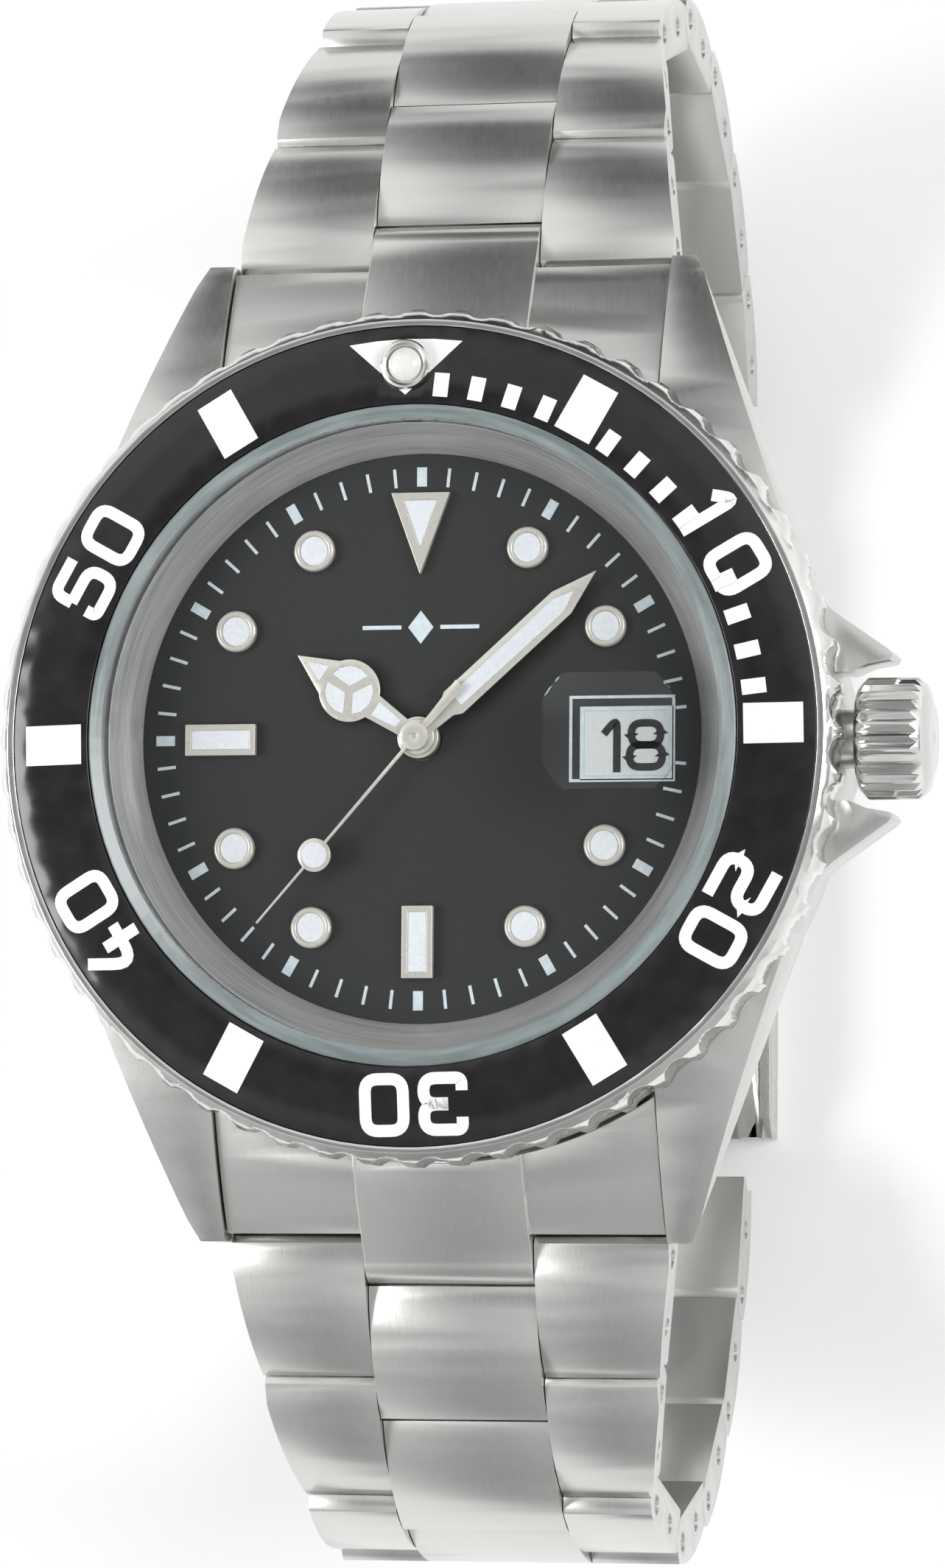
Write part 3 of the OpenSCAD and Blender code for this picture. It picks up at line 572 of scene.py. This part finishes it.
def insert_markings():
    """Single minutes up to 15, a block or a number at every fifth minute, and the zero triangle."""
    shape = Shape()
    zero = -INSERT_REST_ANGLE
    inner_r, outer_r = 16.05, 18.85
    digit_r, digit_side = 17.5, 1.42
    tick = rectangle(0.72, 1.15, (0, 16.65))
    block = rectangle(1.9, outer_r - inner_r, (0, (inner_r + outer_r) / 2))
    for minute in range(1, 15):
        if minute % FIVE_MINUTES:
            shape.prism(turned(tick, zero + DEGREES_A_MINUTE * minute), insert_low, insert_high)
    for minute in range(5, 60, 10):
        shape.prism(turned(block, zero + DEGREES_A_MINUTE * minute), insert_low, insert_high)
    for tens in range(1, 6):
        for digit, side in ((str(tens), -digit_side), ("0", digit_side)):

            def place(outline, side=side, angle=zero + DEGREES_A_MINUTE * 10 * tens):
                return turned(outline, angle, (side, digit_r))

            write_digit(shape, digit, place, insert_low, insert_high)
    base = [polar(outer_r, a) for a in (8.4, 4.2, 0, -4.2, -8.4)]
    shape.prism(turned([(0, 16.15)] + base, zero), insert_low, insert_high)
    shape.piece("insert_markings", "bezel", insert_silver, "lume")


insert_markings()

# ---- Pip in its cup ----



def pip():
    """A rounded metal cup and the luminous bead in it, at the zero of the bezel."""
    low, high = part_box("bezel_pip")
    centre = tuple((low[i] + high[i]) / 2 / MM for i in (0, 1))
    cup, bead = Shape(), Shape()
    cup.turned_profile(
        [(0.86, 10.7), (1.2, 10.7), (1.2, 11.0), (1.14, 11.12), (1.02, 11.16), (0.92, 11.1), (0.86, 10.98)],
        centre,
    )
    cup.piece("pip_cup", "bezel", polished, "bezel_steel")
    bead.dome(0.88, 10.75, 0.62, centre)
    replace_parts(bead.piece("pip_pearl", "bezel", pearl, "lume"), "bezel_pip")


pip()

# ---- Bevelled edge of the crystal, over its gasket and the case's lip ----

edge = Shape()
edge.turned_profile([(14.96, 10.86), (15.7, 10.86), (15.7, 10.9), (15.62, 10.95), (14.96, 11.25)])
edge.piece("crystal_edge", "head", edge_glass, "crystal")

# ---- Dial printing ----


def dial_print():
    """The minute track, with no mark where the date window is."""
    shape = Shape()
    low, high = DIAL_Z - 0.02, DIAL_Z + 0.02
    track_at = (0, 12.5)
    date_minute = 15
    for minute in range(60):
        if minute == date_minute:
            continue
        size = (0.15, 0.9) if minute % FIVE_MINUTES else (0.48, 0.92)
        shape.prism(turned(rectangle(*size, track_at), DEGREES_A_MINUTE * minute), low, high)
    shape.piece("minute_track", "head", print_white, "lume")


dial_print()


def emblem():
    """A plain lozenge between two bars."""
    shape = Shape()
    low, high = DIAL_Z - 0.02, DIAL_Z + 0.05
    middle = 5.3
    half_width, half_height = 0.62, 0.8
    bar_length, bar_width = 1.9, 0.2
    lozenge = [
        (-half_width, middle),
        (0, middle - half_height),
        (half_width, middle),
        (0, middle + half_height),
    ]
    shape.prism(lozenge, low, high)
    for side in (-1, 1):
        shape.prism(rectangle(bar_length, bar_width, (side * bar_length, middle)), low, high)
    shape.piece("dial_emblem", "head", print_white, "lume", 0.02)


emblem()

# ---- Hour markers: a metal rim with lume inside ----

RIM_TOP = top_of("hour_markers") + 0.08


def marker_frames():
    """Round markers, bars at 6 and 9 o'clock, and a triangle at 12."""
    rim, fill = Shape(), Shape()
    out_r, in_r = 0.99, 0.7
    rim_profile = [
        (out_r, DIAL_Z),
        (out_r, RIM_TOP - 0.09),
        (out_r - 0.09, RIM_TOP),
        (in_r + 0.06, RIM_TOP),
        (in_r, RIM_TOP - 0.06),
        (in_r, DIAL_Z),
    ]
    for hour in (1, 2, 4, 5, 7, 8, 10, 11):
        centre = polar(MARKER_R, 30 * hour)
        rim.turned_profile(rim_profile, centre, 48)
        fill.dome(in_r + 0.01, RIM_TOP - 0.12, 0.08, centre)
    bar_at = (0, 9.72)
    framed = [
        (turned(rectangle(1.5, 3.45, bar_at), a), turned(rectangle(0.9, 2.85, bar_at), a)) for a in (180, 270)
    ]
    triangle = [(-1.43, 11.72), (0, 7.8), (1.43, 11.72)]
    framed.append((triangle, [(-0.82, 11.35), (0, 9.05), (0.82, 11.35)]))
    for outer, inner in framed:
        rim.band(outer, inner, DIAL_Z, RIM_TOP)
        fill.prism(inner, DIAL_Z, RIM_TOP - 0.05)
    frames = rim.piece("marker_rims", "head", hand_steel, "hand_steel", 0.04)
    fill.piece("marker_lume", "head", lume, "lume", 0.02)
    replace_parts(frames, "hour_markers")


marker_frames()

# ---- Hands: lume set into the CAD hands ----

# Heights of the hands' upper faces
HOUR_TOP = DIAL_Z + 0.5
MINUTE_TOP = DIAL_Z + 0.81
SECOND_TOP = DIAL_Z + 1.07


def hand_lume():
    """Three sectors, a tip and a stem in the hour hand, a blade, and a disc on the second hand."""
    hour = Shape()
    for a in (30, 150, 270):
        sector = [(0.22, a), (1.14, a - 49), (1.18, a - 25), (1.18, a), (1.18, a + 25), (1.14, a + 49)]
        points = [(r * math.cos(math.radians(t)), r * math.sin(math.radians(t))) for r, t in sector]
        hour.prism(turned(points, HOUR_ANGLE, (0, 4.06)), HOUR_TOP - 0.1, HOUR_TOP + 0.015)
    hour.prism(turned([(-0.42, 5.55), (0.42, 5.55), (0, 6.6)], HOUR_ANGLE), HOUR_TOP, HOUR_TOP + 0.02)
    stem = [(-0.2, 1.15), (0.2, 1.15), (0.38, 2.5), (-0.38, 2.5)]
    hour.prism(turned(stem, HOUR_ANGLE), HOUR_TOP, HOUR_TOP + 0.02)
    hour.piece("hour_lume", "hours", lume, "lume")
    minute = Shape()
    blade = [(-0.36, 2.6), (0.36, 2.6), (0.4, 9.2), (0, 10.2), (-0.4, 9.2)]
    minute.prism(turned(blade, MINUTE_ANGLE), MINUTE_TOP, MINUTE_TOP + 0.02)
    minute.piece("minute_lume", "minutes", lume, "lume")
    second = Shape()
    second.dome(0.62, SECOND_TOP - 0.01, 0.06, polar(7.43, SECOND_ANGLE))
    second.piece("second_lume", "seconds", lume, "lume")


hand_lume()

# ---- Date: window frame and numerals, drawn as large as the lens shows them ----

DATE_AT = (10.3, -0.45)
DATE_SCALE = 0.86
DATE_PEN = 0.42
CARD_AT = (10.02, -0.35)


def date_window():
    frame_lines, card, ink = Shape(), Shape(), Shape()
    low = DIAL_Z + 0.005
    card_top = low + 0.02
    for centre, width, height, line in (((9.8, -0.13), 5.1, 4.1, 0.14), (CARD_AT, 4.5, 3.5, 0.2)):
        outer = rectangle(width, height, centre)
        inner = rectangle(width - 2 * line, height - 2 * line, centre)
        frame_lines.band(outer, inner, low, low + 0.03)
    card.prism(rectangle(4.08, 3.08, CARD_AT), low, card_top)
    for digit, side in (("1", -0.85), ("8", 0.65)):

        def place(outline, side=side):
            return [(DATE_AT[0] + side + x * DATE_SCALE, DATE_AT[1] + y * DATE_SCALE) for x, y in outline]

        write_digit(ink, digit, place, card_top, low + 0.04, DATE_PEN)
    frame_lines.piece("date_frame", "head", print_white, "lume")
    card.piece("date_card", "head", date_white, "date_disc")
    ink.piece("date_numerals", "head", date_ink, "date_disc")


date_window()

# ---- Floor, light and camera ----


def floor():
    """A plain pale floor under the clasp."""
    low = cad_bounds[0][2]
    reach = 3.0
    data = bpy.data.meshes.new("floor")
    data.from_pydata(lifted(rectangle(2 * reach, 2 * reach), low), [], [(0, 1, 2, 3)])
    data.materials.append(material("floor", (0.93, 0.93, 0.93), 0.0, 0.9))
    obj = bpy.data.objects.new("floor", data)
    bpy.context.scene.collection.objects.link(obj)


def ramp_node(tree, source, stops):
    """A smooth grey ramp over a direction's component from -1 to 1; stops are (component, level)."""
    spread = tree.nodes.new("ShaderNodeMapRange")
    spread.inputs["From Min"].default_value = -1
    ramp = tree.nodes.new("ShaderNodeValToRGB")
    ramp.color_ramp.interpolation = "EASE"
    while len(ramp.color_ramp.elements) < len(stops):
        ramp.color_ramp.elements.new(0.5)
    for element, (place, level) in zip(ramp.color_ramp.elements, stops):
        element.position = (place + 1) / 2
        element.color = (level, level, level, 1)
    tree.links.new(source, spread.inputs["Value"])
    tree.links.new(spread.outputs["Result"], ramp.inputs["Fac"])
    return ramp.outputs["Color"]


def studio_sky():
    """Pale light all round: dimmer overhead, bright halfway towards 12 o'clock, dark beyond that."""
    world = bpy.data.worlds.new("studio")
    bpy.context.scene.world = world
    world.use_nodes = True
    tree = world.node_tree
    split = tree.nodes.new("ShaderNodeSeparateXYZ")
    tree.links.new(tree.nodes.new("ShaderNodeTexCoord").outputs["Generated"], split.inputs["Vector"])
    along = [
        (-1, 0.4),
        (-0.7, 0.5),
        (-0.35, 0.85),
        (-0.14, 0.4),
        (0.12, 0.36),
        (0.32, 0.95),
        (0.6, 1.0),
        (0.82, 0.2),
        (1, 0.05),
    ]
    across = [(-1, 1.0), (-0.55, 1.0), (-0.1, 0.7), (0.15, 0.85), (0.5, 1.0)]
    both = tree.nodes.new("ShaderNodeMath")
    both.operation = "MULTIPLY"
    tree.links.new(ramp_node(tree, split.outputs["Y"], along), both.inputs[0])
    tree.links.new(ramp_node(tree, split.outputs["X"], across), both.inputs[1])
    background = tree.nodes["Background"]
    background.inputs["Strength"].default_value = 1.2
    tree.links.new(both.outputs["Value"], background.inputs["Color"])


def soft_light(name, place, power):
    """A square light that faces the origin."""
    data = bpy.data.lights.new(name, "AREA")
    data.shape = "SQUARE"
    data.size = 0.4
    data.energy = power
    obj = bpy.data.objects.new(name, data)
    obj.location = place
    obj.rotation_euler = (-Vector(place)).to_track_quat("-Z", "Y").to_euler()
    bpy.context.scene.collection.objects.link(obj)


def across_and_up(forward):
    """The camera's right and up directions when it looks forward with 12 o'clock at the top."""
    right = forward.cross(Vector((0, 1, 0))).normalized()
    return right, right.cross(forward)


def camera():
    """Almost straight down on the dial, from towards the crown and 6 o'clock."""
    towards_crown, towards_six = math.radians(12.9), math.radians(5.1)
    distance = 0.35
    aim_right, aim_down = 0.00251, 0.00216
    dial_centre = Vector((0, 0, DIAL_Z * MM))
    away = Vector(
        (
            math.sin(towards_crown),
            -math.sin(towards_six) * math.cos(towards_crown),
            math.cos(towards_six) * math.cos(towards_crown),
        )
    )
    place = dial_centre + away.normalized() * distance
    right, up = across_and_up(-away.normalized())
    aim = dial_centre + right * aim_right - up * aim_down
    forward = (aim - place).normalized()
    right, up = across_and_up(forward)
    turn = Matrix((right, up, -forward)).transposed()
    roll = Matrix.Rotation(math.radians(0.42), 3, "Z")
    data = bpy.data.cameras.new("camera")
    data.sensor_fit = "VERTICAL"
    data.sensor_height = 36
    data.lens = 169.0
    data.clip_start = 0.01
    obj = bpy.data.objects.new("camera", data)
    obj.matrix_world = Matrix.Translation(place) @ (turn @ roll).to_4x4()
    bpy.context.scene.collection.objects.link(obj)
    bpy.context.scene.camera = obj


floor()
studio_sky()
soft_light("left", (-0.75, -0.1, 0.5), 5)
soft_light("right", (0.7, 0.1, 0.5), 4)
camera()
bpy.context.scene.view_settings.view_transform = "Standard"
